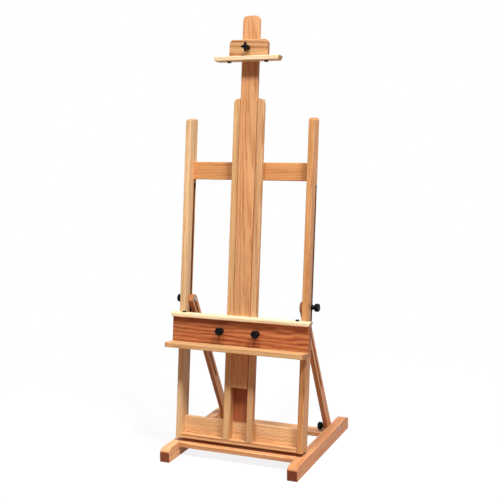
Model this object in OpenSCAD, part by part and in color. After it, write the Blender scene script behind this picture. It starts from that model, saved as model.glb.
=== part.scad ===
// Wooden studio easel: an H-shaped frame that leans back on hinges over a sled base.
// Millimetres. X is across, Y runs to the back, Z is up. The origin is on the floor,
// under the middle of the base.

/* [Base] */
// Width over the two runners
base_width = 611; // [560:1:680]
// Length of a runner, front to back
base_depth = 672; // [600:1:760]
// Height of a runner
base_height = 58; // [52:0.5:70]
// Thickness of a runner
runner_thickness = 43; // [38:0.5:52]
// Radius of the rounded nose at each end of a runner
nose_radius = 37.5; // [34:0.5:48]
// How far the nose runs back from the end of the runner
nose_run = 30; // [20:0.5:33]
// Thickness of the two rails that lie flat between the runners
rail_thickness = 19; // [16:0.5:26]
// Distance of the front rail from the front of the runners
front_rail_setback = 87; // [60:1:110]
// Depth of the front rail
front_rail_depth = 95; // [92:1:120]
// Distance of the rear rail from the back of the runners
rear_rail_setback = 93; // [70:1:120]
// Depth of the rear rail
rear_rail_depth = 70; // [50:1:90]
// Level of the rear rail's underside
rear_rail_level = 2; // [0:0.5:4]

/* [Tilting frame] */
// Backward lean of the frame at its forward stop, in degrees
lean = 7.5; // [5:0.25:10]
// Distance of the frame's front foot edge behind the front rail's face
frame_setback = 21; // [18:0.5:24]
// Thickness of an upright
upright_thickness = 24.5; // [20:0.5:30]
// Depth of an upright, front to back
upright_depth = 69; // [62:0.5:74]
// Length of an upright
upright_length = 1353; // [1300:1:1410]
// Radius of an upright's outer top corner
upright_corner = 16; // [8:0.5:18]
// Radius of an upright's inner top corner
upright_inner_corner = 7; // [4:0.5:8]
// Radius of an upright's front top corner
upright_front_corner = 9; // [6:0.5:20]
// Radius of an upright's rear top corner
upright_rear_corner = 12; // [8:0.5:24]
// Roundover along an upright's outer rear edge
upright_roundover = 11; // [3:0.5:14]
// Thickness of the frame's bottom rail
bottom_rail_thickness = 19; // [16:0.5:26]
// Thickness of the two crossbars
crossbar_thickness = 19; // [16:0.5:24]
// Height of the lower crossbar
lower_crossbar_height = 70; // [60:1:85]
// Height of the upper crossbar
upper_crossbar_height = 74; // [60:1:90]
// Distance of the upper crossbar's lower edge below the tops of the uprights
upper_crossbar_drop = 251; // [230:1:290]

/* [Mast channel] */
// Clear width between the two stiles
channel_width = 76; // [75:0.5:82]
// Width of a stile seen from the front
stile_width = 29.5; // [28:0.5:34]
// Depth of a stile, front to back
stile_depth = 38; // [36:0.5:44]
// How far the stiles rise above the uprights
stile_rise = 82; // [60:1:110]
// Radius of a stile's outer top corner
stile_corner = 23; // [12:0.5:26]
// Depth of the front flange that the tray claws grip
flange_depth = 18; // [15:0.5:19]
// How far the flange stands out beyond the rest of the stile
flange_reach = 10.5; // [8:0.5:12]
// Depth of the groove that guides the tongue of the mast
groove_depth = 8; // [7.5:0.25:10]
// Thickness of the panels that close the channel at the back
panel_thickness = 6; // [4:0.5:9]

/* [Mast] */
// Width of the mast board
mast_width = 74; // [68:0.5:74]
// Thickness of the mast board
mast_thickness = 19; // [16:0.5:20]
// How far the mast's face stands in front of the stiles
mast_proud = 4; // [2:0.5:5]
// Length of the mast board
mast_length = 1532; // [1480:1:1580]
// Level of the mast's lower end
mast_level = 239; // [220:1:260]
// Radius of the mast's top corners
mast_corner = 20; // [8:0.5:24]
// Width of the tongue board behind the mast
tongue_width = 88; // [86:0.5:90]
// Thickness of the tongue board
tongue_thickness = 6; // [4:0.5:8]
// Length of the tongue board
tongue_length = 1150; // [1100:1:1170]

/* [Top clamp] */
// Level of the grip bar's underside
clamp_level = 1583; // [1570:1:1600]
// Width of the front block
block_width = 169.5; // [150:0.5:190]
// Height of the front block
block_height = 71.5; // [60:0.5:85]
// Thickness of the front block
block_thickness = 19.5; // [16:0.5:24]
// Radius of the block's upper corners
block_corner = 21; // [10:0.5:26]
// Width of the spacer on each side of the mast
spacer_width = 23; // [20:0.5:30]
// Thickness of the plate behind the mast
back_plate_thickness = 12; // [10:0.5:16]
// Length of the grip bar
bar_length = 288; // [250:1:330]
// Height of the grip bar
bar_height = 18; // [16:0.5:22]
// Depth of the grip bar, front to back
bar_depth = 46; // [40:0.5:60]
// Radius of the grip bar's front corners
bar_corner = 9; // [4:0.5:12]
// How far the grip bar's ends slope in towards the bottom
bar_undercut = 6; // [3:0.5:10]
// Distance between the two pads under the bar
bar_pad_spacing = 164; // [140:1:220]

/* [Canvas tray] */
// Level of the top of the ledge
ledge_level = 538.5; // [525:0.5:545]
// How far the ledge stands out beyond each end of the apron
ledge_overhang = 8; // [5:0.5:16]
// Height of the ledge
ledge_height = 19.5; // [17:0.5:24]
// Depth of the ledge, front to back
ledge_depth = 34; // [30:0.5:40]
// Roundover along the ledge's top front edge
ledge_roundover = 10; // [6:0.5:14]
// How far the ledge's ends slope in towards the bottom
ledge_undercut = 8; // [4:0.5:12]
// How far a dowel reaches up into the ledge
dowel_in_ledge = 14; // [10:0.5:15]
// How far the apron stands out beyond the uprights on each side
apron_overhang = 19; // [12:0.5:26]
// Height of the apron
apron_height = 104; // [90:1:115]
// Thickness of the apron
apron_thickness = 19.5; // [16:0.5:24]
// How far the shelf stands out beyond each end of the apron
shelf_overhang = 2.5; // [1:0.5:6]
// Depth of the shelf, front to back
shelf_depth = 94; // [80:1:110]
// Thickness of the shelf
shelf_thickness = 20; // [17:0.5:24]
// Radius of the shelf's front corners
shelf_corner = 13; // [4:0.5:20]
// Clearance beside the mast in the housing at the tray's back
housing_side_gap = 2; // [1:0.5:4]
// Distance between the two tray bolts
tray_bolt_spacing = 161; // [158:0.5:166]
// Height of a claw that grips a stile
claw_height = 60; // [44:1:80]
// Thickness of a claw behind the flange
claw_thickness = 14; // [11:0.5:17]
// Width of the claw's heel that bears on the apron
claw_heel = 16; // [12:0.5:22]
// Wood between the tray bolt and the claw's heel
claw_wall = 3.5; // [2:0.5:6]
// Distance between the two pads on the ledge
ledge_pad_spacing = 508; // [480:1:540]
// Diameter of a rubber pad
pad_diameter = 17; // [12:0.5:20]
// Height of a rubber pad
pad_height = 6; // [4:0.5:8]

/* [Struts] */
// Thickness of a strut
strut_thickness = 19; // [16:0.5:24]
// Width of a strut
strut_width = 43; // [36:0.5:50]
// Distance of the strut pivot from the back of the runners
pivot_setback = 132; // [120:1:145]
// Level of the strut bolt along the frame
strut_bolt_level = 591; // [560:1:620]
// Distance of the strut bolt behind the front of the frame
strut_bolt_setback = 50; // [34:0.5:56]
// Width of a strut's slot
slot_width = 13; // [12:0.25:15]
// Distance between the two end centres of a strut's slot
slot_length = 440; // [380:1:480]
// Gap between a strut's foot and the rear rail
foot_gap = 1; // [0.5:0.5:4]

/* [Knobs, bolts and screws] */
// Diameter of the bolts and studs
bolt_diameter = 7.9; // [7:0.1:8.5]
// Diameter of a bolt's domed head
bolt_head_diameter = 19; // [16:0.5:21]
// Height of a bolt's domed head
bolt_head_height = 4.5; // [3.5:0.25:6]
// Diameter of a washer
washer_diameter = 22; // [20:0.5:26]
// Thickness of a washer
washer_thickness = 1.6; // [1:0.1:2.5]
// Diameter of a round knob
knob_diameter = 34; // [30:0.5:42]
// Height of a round knob
knob_height = 33; // [30:0.5:40]
// Diameter of a knob's collar
collar_diameter = 24; // [20:0.5:28]
// Number of flutes round a knob
knob_flutes = 6; // [5:1:9]
// Depth of the threaded bore in a knob
knob_bore = 22; // [18:0.5:24]
// How far a bolt or stud reaches into a knob
thread_reach = 20; // [14:0.5:21]
// Diameter of the star knob on the top clamp
star_diameter = 39; // [35:0.5:44]
// Length of the star knob's stem
star_stem = 26; // [16:0.5:32]
// Outside diameter of a threaded insert
insert_diameter = 12; // [11:0.5:14]
// Length of a threaded insert
insert_length = 13; // [10:0.5:16]
// Diameter of a wood screw's shank
screw_diameter = 4; // [3:0.25:4.5]
// Diameter of a wood screw's head
screw_head_diameter = 8; // [7:0.25:9]
// Height of a wood screw's countersunk head
screw_head_height = 2.5; // [2:0.25:3.5]
// Diameter of a dowel
dowel_diameter = 8; // [6:0.5:10]
// Length of a dowel
dowel_length = 43; // [38:1:48]
// How far a dowel reaches into a runner or an upright
dowel_in_post = 15; // [12:0.5:18]

/* [Hinges] */
// Length of a hinge along its pin
hinge_length = 76; // [60:1:90]
// Depth of a hinge leaf
leaf_depth = 26; // [22:0.5:30]
// Thickness of a hinge leaf
leaf_thickness = 2; // [1.5:0.1:2.5]
// Outside diameter of a hinge knuckle
knuckle_diameter = 6.4; // [6:0.1:7]
// Diameter of a hinge pin
pin_diameter = 4; // [3:0.1:4.2]
// Distance of the hinge pin behind the uprights
pin_back = 2.6; // [2:0.1:5]
// Distance between the two hinges
hinge_spacing = 340; // [300:1:380]

/* [Clearances] */
// Gap between faces that slide along each other
slide_gap = 0.3; // [0.2:0.05:0.4]
// Gap on each side of a washer or a knob
side_gap = 0.2; // [0.1:0.05:0.3]
// Gap between a claw and the stile beside it
claw_gap = 1; // [0.5:0.1:2]
// Radial gap of a pin, screw or dowel in its hole
fit_gap = 0.05; // [0.03:0.01:0.08]
// Width of the eased edges of the boards
edge = 2; // [1:0.25:3]

/* [Hidden] */
$fn = 64;
inner = base_width / 2 - runner_thickness;
front_rail_y = front_rail_setback - base_depth / 2;
rear_rail_y = base_depth / 2 - rear_rail_setback - rear_rail_depth;
rail_z = base_height - rail_thickness;
pivot_y = base_depth / 2 - pivot_setback;
pivot_height = rear_rail_level + rail_thickness + strut_width / 2 + foot_gap;
knuckle_radius = knuckle_diameter / 2;
pin_v = upright_depth + pin_back;
pin_w = -knuckle_radius;
pin_z = base_height + slide_gap + knuckle_radius;
frame_y = front_rail_y + frame_setback;
frame_z = pin_z + pin_v * sin(lean) - pin_w * cos(lean);
pin_y = frame_y + pin_v * cos(lean) + pin_w * sin(lean);
crossbar_v = stile_depth;
channel_half = channel_width / 2;
stile_outer = channel_half + stile_width;
stile_neck = stile_outer - flange_reach;
top_rise = upright_depth * tan(lean);
stile_top = upright_length + stile_rise;
stile_length = stile_top - bottom_rail_thickness;
lower_crossbar_top = bottom_rail_thickness + lower_crossbar_height;
upper_crossbar_level = upright_length - upper_crossbar_drop;
upper_crossbar_top = upper_crossbar_level + upper_crossbar_height;
mast_front = -mast_proud;
mast_back = mast_front + mast_thickness;
groove_front = mast_back - slide_gap;
groove_back = mast_back + tongue_thickness + slide_gap;
tray_back = -slide_gap;
housing_front = mast_front - slide_gap;
housing_width = mast_width + 2 * housing_side_gap;
apron_length = 2 * (inner + upright_thickness + apron_overhang);
ledge_length = apron_length + 2 * ledge_overhang;
shelf_length = apron_length + 2 * shelf_overhang;
apron_top = ledge_level - ledge_height;
apron_bottom = apron_top - apron_height;
apron_front = tray_back - apron_thickness;
tray_bolt_level = apron_bottom + apron_height * 0.55;
claw_front = flange_depth + slide_gap;
claw_back = claw_front + claw_thickness;
claw_inner = stile_neck + claw_gap;
claw_heel_inner = tray_bolt_spacing / 2 + bolt_diameter / 2 + claw_wall;
claw_outer = claw_heel_inner + claw_heel;
block_level = clamp_level + bar_height;
clamp_front = mast_front - slide_gap;
block_front = clamp_front - block_thickness;
spacer_inner = mast_width / 2 + slide_gap;
spacer_outer = spacer_inner + spacer_width;
back_plate_front = mast_back + slide_gap;
back_plate_back = back_plate_front + back_plate_thickness;
stud_level = block_level + block_height * 0.5;
lock_level = upper_crossbar_level + upper_crossbar_height / 2;
bolt_y = frame_y + strut_bolt_setback * cos(lean) + strut_bolt_level * sin(lean);
bolt_z = frame_z - strut_bolt_setback * sin(lean) + strut_bolt_level * cos(lean);
strut_reach = norm([bolt_y - pivot_y, bolt_z - pivot_height]);
strut_angle = atan2(pivot_y - bolt_y, bolt_z - pivot_height);
bolt_radius = bolt_diameter / 2;
slot_top = strut_reach - slot_width / 2 + bolt_radius + slide_gap;
strut_outer = inner - washer_thickness - side_gap;
strut_inner = strut_outer - strut_thickness;
strut_washer = strut_inner - side_gap - washer_thickness;
hole_diameter = bolt_diameter + 2 * fit_gap;
oak = "burlywood";
steel = "silver";
plastic = "dimgray";

// ---------- shared forms ----------

// Section of a sawn board with eased edges.
module eased_section(a, b) {
    polygon([
        [edge, 0], [a - edge, 0], [a, edge], [a, b - edge],
        [a - edge, b], [edge, b], [0, b - edge], [0, edge]
    ]);
}

// Board with its length across the easel, centred on X.
module board_across(length, depth, height) {
    translate([-length / 2, 0, 0])
        rotate([90, 0, 90])
            linear_extrude(length)
                eased_section(depth, height);
}

// Board with its length upright.
module board_upright(width, depth, length) {
    linear_extrude(length)
        eased_section(width, depth);
}

// What a round corner leaves over: the corner is the Z axis and the wood lies at -X, -Y.
// One face is X = 0 and the other leans away from Y = 0 by the slant.
module round_cut(radius, length, slant = 0) {
    over = 1;
    middle = -radius * (1 - sin(slant)) / cos(slant);
    difference() {
        translate([0, 0, -over])
            linear_extrude(length + 2 * over)
                polygon([
                    [-radius, middle], [over, middle], [over, over],
                    [-radius + (radius + over) * sin(slant), middle + (radius + over) * cos(slant)]
                ]);
        translate([-radius, middle, -2 * over])
            cylinder(r = radius, h = length + 4 * over);
    }
}

// Round cut for the right-hand top corner of a board that faces the front.
module top_corner_cut(radius, depth) {
    translate([0, depth, 0])
        rotate([90, 0, 0])
            round_cut(radius, depth);
}

// Round cut along a top front edge that runs across the easel.
module front_edge_cut(radius, length, slant = 0) {
    mirror([0, 1, 0])
        translate([length / 2, 0, 0])
            rotate([0, -90, 0])
                round_cut(radius, length, slant);
}

// Round cut for the front corner, at +X, of a board that lies flat.
module plan_corner_cut(radius, height) {
    mirror([0, 1, 0])
        round_cut(radius, height);
}

// Wedge that slopes a board's +X end in towards its bottom, from the bottom rear corner.
module sloped_end_cut(undercut, depth, height) {
    over = 1;
    translate([0, over, 0])
        rotate([90, 0, 0])
            linear_extrude(depth + 2 * over)
                polygon([
                    [-undercut, 0], [-undercut, -over],
                    [over, -over], [over, height], [0, height]
                ]);
}

module both_sides() {
    children();
    mirror([1, 0, 0])
        children();
}

// Places parts that are drawn along the leaning frame: Y from its front, Z along it.
module in_frame() {
    translate([0, frame_y, frame_z])
        rotate([-lean, 0, 0])
            children();
}

// Turns a part's Z axis to point outward along +X.
module outward() {
    rotate([0, 90, 0])
        children();
}

// Countersunk wood screw that points down, with its head flush at Z = 0.
module wood_screw(length, extra = 0) {
    translate([0, 0, -length - extra])
        cylinder(d = screw_diameter + extra, h = length);
    translate([0, 0, -screw_head_height - extra])
        cylinder(
            d1 = screw_diameter + extra,
            d2 = screw_head_diameter + extra,
            h = screw_head_height + extra
        );
}

module screw_hole(length) {
    wood_screw(length, 2 * fit_gap);
}

module dowel(extra = 0) {
    translate([0, 0, -extra])
        cylinder(d = dowel_diameter + extra, h = dowel_length + 2 * extra);
}

module dowel_hole() {
    dowel(2 * fit_gap);
}

// Carriage bolt: shank along +Z, domed head below Z = 0.
module carriage_bolt(length) {
    dome_radius = (pow(bolt_head_diameter / 2, 2) + pow(bolt_head_height, 2))
        / (2 * bolt_head_height);
    cylinder(d = bolt_diameter, h = length);
    mirror([0, 0, 1])
        intersection() {
            translate([0, 0, bolt_head_height - dome_radius])
                sphere(r = dome_radius);
            cylinder(d = bolt_head_diameter, h = bolt_head_height);
        }
}

module washer() {
    difference() {
        cylinder(d = washer_diameter, h = washer_thickness);
        translate([0, 0, -1])
            cylinder(d = hole_diameter, h = washer_thickness + 2);
    }
}

// Moulded knob: collar at Z = 0, narrow neck, fluted head with a rounded top.
module round_knob() {
    knob_radius = knob_diameter / 2;
    collar_radius = collar_diameter / 2;
    collar_height = knob_height * 0.12;
    neck_radius = collar_radius * 0.68;
    neck_start = knob_height * 0.27;
    head_start = knob_height * 0.42;
    rim = knob_radius * 0.17;
    flute_radius = knob_diameter * 0.16;
    difference() {
        rotate_extrude()
            polygon([
                [0, 0], [collar_radius, 0], [collar_radius, collar_height],
                [collar_radius - rim / 3, collar_height + rim / 3],
                [neck_radius, neck_start], [neck_radius, head_start - rim],
                [knob_radius - rim, head_start + rim * 2 / 3],
                [knob_radius, head_start + 2 * rim], [knob_radius, knob_height - 1.6 * rim],
                [knob_radius - rim / 2, knob_height - rim * 2 / 3],
                [knob_radius - 1.5 * rim, knob_height], [0, knob_height]
            ]);
        for (i = [0 : knob_flutes - 1])
            rotate([0, 0, 90 + i * 360 / knob_flutes])
                translate([knob_radius + flute_radius * 0.55, 0, head_start - rim])
                    cylinder(r = flute_radius, h = knob_height);
        translate([0, 0, -1])
            cylinder(d = hole_diameter, h = knob_bore + 1);
    }
}

// Stud that is screwed into a knob's bore and stands out below it.
module knob_stud(reach) {
    translate([0, 0, -reach])
        cylinder(d = bolt_diameter, h = reach + thread_reach);
}

// Brass insert with its flange at Z = 0 and its body below.
module threaded_insert() {
    difference() {
        translate([0, 0, -insert_length])
            cylinder(d = insert_diameter, h = insert_length);
        translate([0, 0, -insert_length - 1])
            cylinder(d = hole_diameter, h = insert_length + 2);
    }
}

module insert_hole(depth) {
    translate([0, 0, -insert_length])
        cylinder(d = insert_diameter + 2 * fit_gap, h = insert_length + 1);
    translate([0, 0, -depth - 1])
        cylinder(d = hole_diameter, h = depth + 2);
}

// ---------- base ----------

// Places a dowel at each end of the two base rails, from the rail into the runner.
module at_base_dowels() {
    from_end = dowel_length - dowel_in_post;
    both_sides()
        for (rail = [
            [front_rail_y, front_rail_depth, rail_z],
            [rear_rail_y, rear_rail_depth, rear_rail_level]
        ])
            for (share = [0.25, 0.75])
                translate([
                    inner - from_end,
                    rail[0] + rail[1] * share,
                    rail[2] + rail_thickness / 2
                ])
                    outward()
                        children();
}

module runner_body() {
    difference() {
        translate([inner, base_depth / 2, 0])
            rotate([90, 0, 0])
                linear_extrude(base_depth)
                    polygon([
                        [0, 0], [runner_thickness, 0], [runner_thickness, base_height - 2 * edge],
                        [runner_thickness - edge / 2, base_height - edge / 2],
                        [runner_thickness - 2 * edge, base_height],
                        [edge, base_height], [0, base_height - edge]
                    ]);
        for (end = [0, 1])
            mirror([0, end, 0])
                runner_nose_cut();
        at_base_dowels()
            dowel_hole();
        translate([inner - 1, pivot_y, pivot_height])
            outward()
                cylinder(d = hole_diameter, h = runner_thickness + 2);
    }
}

// Waste above the nose at the front end of a runner.
module runner_nose_cut() {
    nose_y = nose_run - base_depth / 2;
    difference() {
        translate([inner - 1, nose_y - nose_radius - 1, base_height - nose_radius])
            cube([runner_thickness + 2, nose_radius + 1, nose_radius + 1]);
        translate([inner - 2, nose_y, base_height - nose_radius])
            outward()
                cylinder(r = nose_radius, h = runner_thickness + 4);
    }
}

module right_runner() {
    color(oak)
        runner_body();
}

module left_runner() {
    color(oak)
        mirror([1, 0, 0])
            runner_body();
}

module front_rail() {
    color(oak)
        difference() {
            translate([0, front_rail_y, rail_z])
                board_across(2 * inner, front_rail_depth, rail_thickness);
            at_base_dowels()
                dowel_hole();
            at_lower_hinge_screws()
                screw_hole(screw_in_rail);
        }
}

module rear_rail() {
    color(oak)
        difference() {
            translate([0, rear_rail_y, rear_rail_level])
                board_across(2 * inner, rear_rail_depth, rail_thickness);
            at_base_dowels()
                dowel_hole();
        }
}

module base_dowels() {
    color(oak)
        at_base_dowels()
            dowel();
}

module pivot_bolts() {
    color(steel)
        both_sides()
            translate([base_width / 2, pivot_y, pivot_height])
                rotate([0, -90, 0])
                    carriage_bolt(base_width / 2 - strut_washer + thread_reach);
}

// One washer on each face of the strut's foot.
module pivot_washers() {
    color(steel)
        both_sides()
            for (x = [strut_washer, inner - washer_thickness])
                translate([x, pivot_y, pivot_height])
                    outward()
                        washer();
}

// ---------- hinges ----------

knuckles = 5;
knuckle_pitch = hinge_length / knuckles;
knuckle_gap = 0.2;
screw_in_rail = 14;
leaf_screws = 3;

module at_hinges() {
    for (side = [-1, 1])
        translate([side * hinge_spacing / 2, 0, 0])
            children();
}

// Screw places on a leaf, seen along the leaf from its pin.
module at_leaf_screws() {
    for (i = [0 : leaf_screws - 1])
        translate([(i - 1) * hinge_length / leaf_screws, -leaf_depth * 0.62, 0])
            children();
}

// Hinge leaf with its pin on the X axis: plate towards -Y, knuckles from number first.
module hinge_leaf(first, plate_z) {
    plate_rear = knuckle_radius + knuckle_gap + 0.3;
    difference() {
        union() {
            translate([-hinge_length / 2, -leaf_depth, plate_z])
                cube([hinge_length, leaf_depth - plate_rear, leaf_thickness]);
            for (i = [first : 2 : knuckles - 1])
                translate([-hinge_length / 2 + i * knuckle_pitch + knuckle_gap / 2, 0, 0]) {
                    translate([0, -plate_rear - 1, plate_z])
                        cube([knuckle_pitch - knuckle_gap, plate_rear + 1, leaf_thickness]);
                    outward()
                        cylinder(d = knuckle_diameter, h = knuckle_pitch - knuckle_gap);
                }
        }
        translate([-hinge_length / 2 - 1, 0, 0])
            outward()
                cylinder(d = pin_diameter + 2 * fit_gap, h = hinge_length + 2);
    }
}

module at_lower_hinge_screws() {
    at_hinges()
        translate([0, pin_y, base_height + leaf_thickness])
            at_leaf_screws()
                children();
}

module at_upper_hinge_screws() {
    in_frame()
        at_hinges()
            translate([0, pin_v, -leaf_thickness])
                at_leaf_screws()
                    mirror([0, 0, 1])
                        children();
}

module lower_hinge_leaves() {
    color(steel)
        difference() {
            at_hinges()
                translate([0, pin_y, pin_z])
                    hinge_leaf(0, base_height - pin_z);
            at_lower_hinge_screws()
                screw_hole(screw_in_rail);
        }
}

module upper_hinge_leaves() {
    color(steel)
        difference() {
            in_frame()
                at_hinges()
                    translate([0, pin_v, pin_w])
                        hinge_leaf(1, -pin_w - leaf_thickness);
            at_upper_hinge_screws()
                screw_hole(screw_in_rail);
        }
}

module hinge_pins() {
    color(steel)
        at_hinges()
            translate([-hinge_length / 2, pin_y, pin_z])
                outward()
                    cylinder(d = pin_diameter, h = hinge_length);
}

module lower_hinge_screws() {
    color(steel)
        at_lower_hinge_screws()
            wood_screw(screw_in_rail);
}

module upper_hinge_screws() {
    color(steel)
        at_upper_hinge_screws()
            wood_screw(screw_in_rail);
}

// ---------- tilting frame ----------

stile_screw_x = stile_neck - 4.8;
stile_screw_length = 40;
foot_screw_length = 45;
panel_screw_length = 18;

// Places a dowel at each end of the bottom rail and the crossbars.
module at_frame_dowels() {
    from_end = dowel_length - dowel_in_post;
    crossbar_middle = crossbar_v + crossbar_thickness / 2;
    both_sides()
        for (place = [
            [upright_depth * 0.25, bottom_rail_thickness / 2],
            [upright_depth * 0.75, bottom_rail_thickness / 2],
            [crossbar_middle, bottom_rail_thickness + lower_crossbar_height * 0.28],
            [crossbar_middle, bottom_rail_thickness + lower_crossbar_height * 0.72],
            [crossbar_middle, upper_crossbar_level + upper_crossbar_height * 0.28],
            [crossbar_middle, upper_crossbar_level + upper_crossbar_height * 0.72]
        ])
            translate([inner - from_end, place[0], place[1]])
                outward()
                    children();
}

// Places the screws that hold the stiles: through each crossbar from behind.
module at_stile_screws() {
    both_sides()
        for (bar = [
            [bottom_rail_thickness, lower_crossbar_height],
            [upper_crossbar_level, upper_crossbar_height]
        ])
            for (share = [0.25, 0.75])
                translate([stile_screw_x, crossbar_v + crossbar_thickness, bar[0] + bar[1] * share])
                    rotate([-90, 0, 0])
                        children();
}

// Places the screw that comes up through the bottom rail into each stile.
module at_foot_screws() {
    both_sides()
        translate([stile_screw_x, flange_depth / 2, 0])
            mirror([0, 0, 1])
                children();
}

// Places the panel screws in rows along both stiles.
module at_panel_screws() {
    main_span = upper_crossbar_level - lower_crossbar_top;
    upper_span = stile_top - upper_crossbar_top;
    both_sides() {
        for (share = [0.04, 0.27, 0.5, 0.73, 0.96])
            translate([stile_screw_x, crossbar_v + panel_thickness, lower_crossbar_top + main_span * share])
                rotate([-90, 0, 0])
                    children();
        for (share = [0.12, 0.85])
            translate([stile_screw_x, crossbar_v + panel_thickness, upper_crossbar_top + upper_span * share])
                rotate([-90, 0, 0])
                    children();
    }
}

// Shapes an upright's top: cut level with the floor, with all four corners rounded.
module level_top_cuts(outer) {
    over = 1;
    translate([inner - over, -over, 0])
        cube([upright_thickness + 2 * over, upright_depth + top_rise + over, 2 * top_rise]);
    translate([outer, -over, 0])
        top_corner_cut(upright_corner, upright_depth + top_rise + over);
    translate([inner, -over, 0])
        mirror([1, 0, 0])
            top_corner_cut(upright_inner_corner, upright_depth + top_rise + over);
    translate([inner + upright_thickness / 2, 0, 0])
        front_edge_cut(upright_front_corner, upright_thickness + 2 * over, lean);
    translate([outer + over, upright_depth / cos(lean), 0])
        rotate([0, -90, 0])
            round_cut(upright_rear_corner, upright_thickness + 2 * over, -lean);
}

module upright_body() {
    outer = inner + upright_thickness;
    in_frame()
        difference() {
            translate([inner, 0, 0])
                board_upright(upright_thickness, upright_depth, upright_length + top_rise);
            translate([0, 0, upright_length])
                rotate([lean, 0, 0])
                    level_top_cuts(outer);
            translate([outer, upright_depth, -1])
                round_cut(upright_roundover, upright_length + 2);
            at_frame_dowels()
                dowel_hole();
            translate([inner - 1, strut_bolt_setback, strut_bolt_level])
                outward()
                    cylinder(d = hole_diameter, h = upright_thickness + 2);
        }
}

module right_upright() {
    color(oak)
        upright_body();
}

module left_upright() {
    color(oak)
        mirror([1, 0, 0])
            upright_body();
}

module bottom_rail() {
    color(oak)
        difference() {
            in_frame()
                difference() {
                    board_across(2 * inner, upright_depth, bottom_rail_thickness);
                    at_frame_dowels()
                        dowel_hole();
                    at_foot_screws()
                        screw_hole(foot_screw_length);
                }
            at_upper_hinge_screws()
                screw_hole(screw_in_rail);
        }
}

module crossbar(level, height) {
    translate([0, crossbar_v, level])
        board_across(2 * inner, crossbar_thickness, height);
}

module lower_crossbar() {
    color(oak)
        in_frame()
            difference() {
                crossbar(bottom_rail_thickness, lower_crossbar_height);
                at_frame_dowels()
                    dowel_hole();
                at_stile_screws()
                    screw_hole(stile_screw_length);
            }
}

module upper_crossbar() {
    color(oak)
        in_frame()
            difference() {
                crossbar(upper_crossbar_level, upper_crossbar_height);
                at_frame_dowels()
                    dowel_hole();
                at_stile_screws()
                    screw_hole(stile_screw_length);
                at_mast_lock()
                    insert_hole(crossbar_thickness);
            }
}

// Stile section: a flange in front for the tray claws, and inside it the groove that
// holds the tongue of the mast.
module stile_section() {
    groove_floor = channel_half + groove_depth;
    polygon([
        [channel_half + edge, 0], [stile_outer - edge, 0], [stile_outer, edge],
        [stile_outer, flange_depth], [stile_neck, flange_depth], [stile_neck, stile_depth],
        [channel_half, stile_depth], [channel_half, groove_back], [groove_floor, groove_back],
        [groove_floor, groove_front], [channel_half, groove_front], [channel_half, edge]
    ]);
}

module stile_body() {
    in_frame()
        difference() {
            translate([0, 0, bottom_rail_thickness])
                linear_extrude(stile_length)
                    stile_section();
            translate([stile_outer, 0, stile_top])
                top_corner_cut(stile_corner, stile_depth);
            at_stile_screws()
                screw_hole(stile_screw_length);
            at_foot_screws()
                screw_hole(foot_screw_length);
            at_panel_screws()
                screw_hole(panel_screw_length);
        }
}

module right_stile() {
    color(oak)
        stile_body();
}

module left_stile() {
    color(oak)
        mirror([1, 0, 0])
            stile_body();
}

module panel_body(low, high) {
    in_frame()
        difference() {
            translate([-stile_neck, crossbar_v, low])
                cube([2 * stile_neck, panel_thickness, high - low]);
            at_panel_screws()
                screw_hole(panel_screw_length);
        }
}

module back_panel() {
    color("sienna")
        panel_body(lower_crossbar_top, upper_crossbar_level);
}

module upper_back_panel() {
    color("sienna")
        panel_body(upper_crossbar_top, stile_top - stile_corner);
}

module frame_dowels() {
    color(oak)
        in_frame()
            at_frame_dowels()
                dowel();
}

module stile_screws() {
    color(steel)
        in_frame() {
            at_stile_screws()
                wood_screw(stile_screw_length);
            at_foot_screws()
                wood_screw(foot_screw_length);
        }
}

module panel_screws() {
    color(steel)
        in_frame()
            at_panel_screws()
                wood_screw(panel_screw_length);
}

// Bolt through the strut's slot and the upright, with its head on the strut's side.
module strut_bolts() {
    color(steel)
        in_frame()
            both_sides()
                translate([strut_washer, strut_bolt_setback, strut_bolt_level])
                    outward()
                        carriage_bolt(inner + upright_thickness - strut_washer + thread_reach);
}

// One washer on each face of the strut.
module strut_washers() {
    color(steel)
        in_frame()
            both_sides()
                for (x = [strut_washer, inner - washer_thickness])
                    translate([x, strut_bolt_setback, strut_bolt_level])
                        outward()
                            washer();
}

// ---------- mast lock, at the back of the upper crossbar ----------

module at_mast_lock() {
    translate([0, crossbar_v + crossbar_thickness, lock_level])
        rotate([-90, 0, 0])
            children();
}

module mast_lock_insert() {
    color("gold")
        in_frame()
            at_mast_lock()
                threaded_insert();
}

module mast_lock_knob() {
    color(plastic)
        in_frame()
            at_mast_lock()
                translate([0, 0, slide_gap])
                    round_knob();
}

module mast_lock_stud() {
    color(steel)
        in_frame()
            at_mast_lock()
                translate([0, 0, slide_gap])
                    knob_stud(crossbar_v + crossbar_thickness - groove_back + slide_gap);
}

// ---------- struts ----------

module strut_body() {
    slot_bottom = slot_top - slot_length;
    translate([strut_inner, pivot_y, pivot_height])
        rotate([strut_angle, 0, 0])
            difference() {
                union() {
                    translate([0, -strut_width / 2, 0])
                        cube([strut_thickness, strut_width, slot_top]);
                    for (z = [0, slot_top])
                        translate([0, 0, z])
                            outward()
                                cylinder(d = strut_width, h = strut_thickness);
                }
                translate([-1, 0, 0])
                    outward()
                        cylinder(d = hole_diameter, h = strut_thickness + 2);
                translate([-1, -slot_width / 2, slot_bottom])
                    cube([strut_thickness + 2, slot_width, slot_length]);
                for (z = [slot_bottom, slot_top])
                    translate([-1, 0, z])
                        outward()
                            cylinder(d = slot_width, h = strut_thickness + 2);
            }
}

module right_strut() {
    color(oak)
        strut_body();
}

module left_strut() {
    color(oak)
        mirror([1, 0, 0])
            strut_body();
}

module at_right_strut_knob() {
    translate([inner + upright_thickness + side_gap, strut_bolt_setback, strut_bolt_level])
        outward()
            children();
}

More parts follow.
